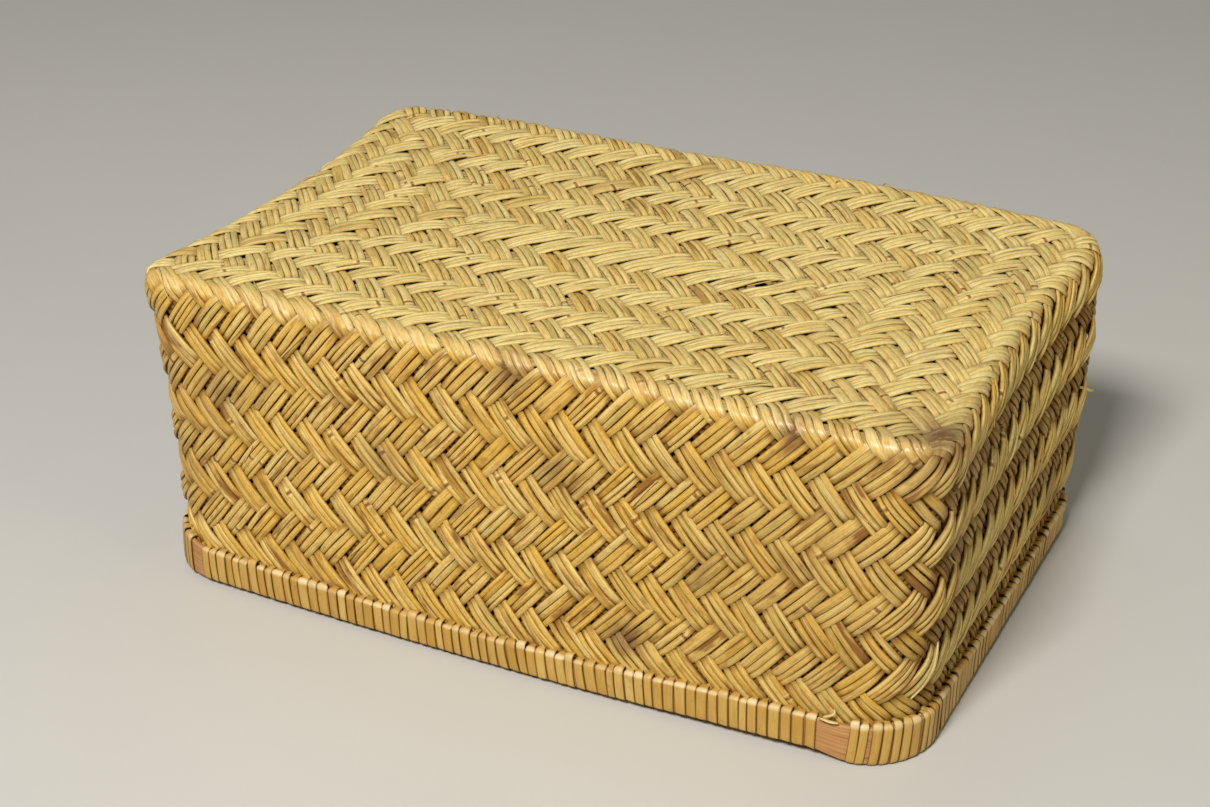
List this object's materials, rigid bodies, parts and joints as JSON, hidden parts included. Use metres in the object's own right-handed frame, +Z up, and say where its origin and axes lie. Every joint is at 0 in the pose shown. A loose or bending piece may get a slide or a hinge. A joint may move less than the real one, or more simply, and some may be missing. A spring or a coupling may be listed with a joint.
{
  "type": "lidded storage box",
  "caption": "Rectangular box plaited on the bias from split bamboo splints, with a bound rim and a full-depth lid that slides down over it and lifts off.",
  "frame": {"origin": "on the table, at the middle of the closed box's footprint", "axes": "+X along the long side, +Y towards the back, +Z up, the way the lid lifts"},
  "size_m": [0.4024, 0.2536, 0.16],
  "materials": {
    "splint": "smooth natural skin of split bamboo, satin, golden tan with brown stains",
    "hoop": "planed split bamboo, reddish brown, matt, fine straight grain",
    "peel": "flat glossy peel, straw yellow",
    "core": "split filler strand, matt"
  },
  "bodies": {
    "base": {"base_splints_rising_left": "splint", "base_splints_rising_right": "splint", "base_outer_hoop": "hoop", "base_inner_hoop": "hoop", "base_rim_core": "core", "base_binding_front": "peel", "base_binding_right": "peel", "base_binding_back": "peel", "base_binding_left": "peel"},
    "lid": {"lid_splints_rising_left": "splint", "lid_splints_rising_right": "splint", "lid_outer_hoop": "hoop", "lid_inner_hoop": "hoop", "lid_rim_core": "core", "lid_binding_front": "peel", "lid_binding_right": "peel", "lid_binding_back": "peel", "lid_binding_left": "peel"}
  },
  "joints": [
    {"name": "lid_lift", "type": "slide", "parent": "base", "child": "lid", "axis": [0, 0, 1], "range_m": [0, 0.17]}
  ]
}
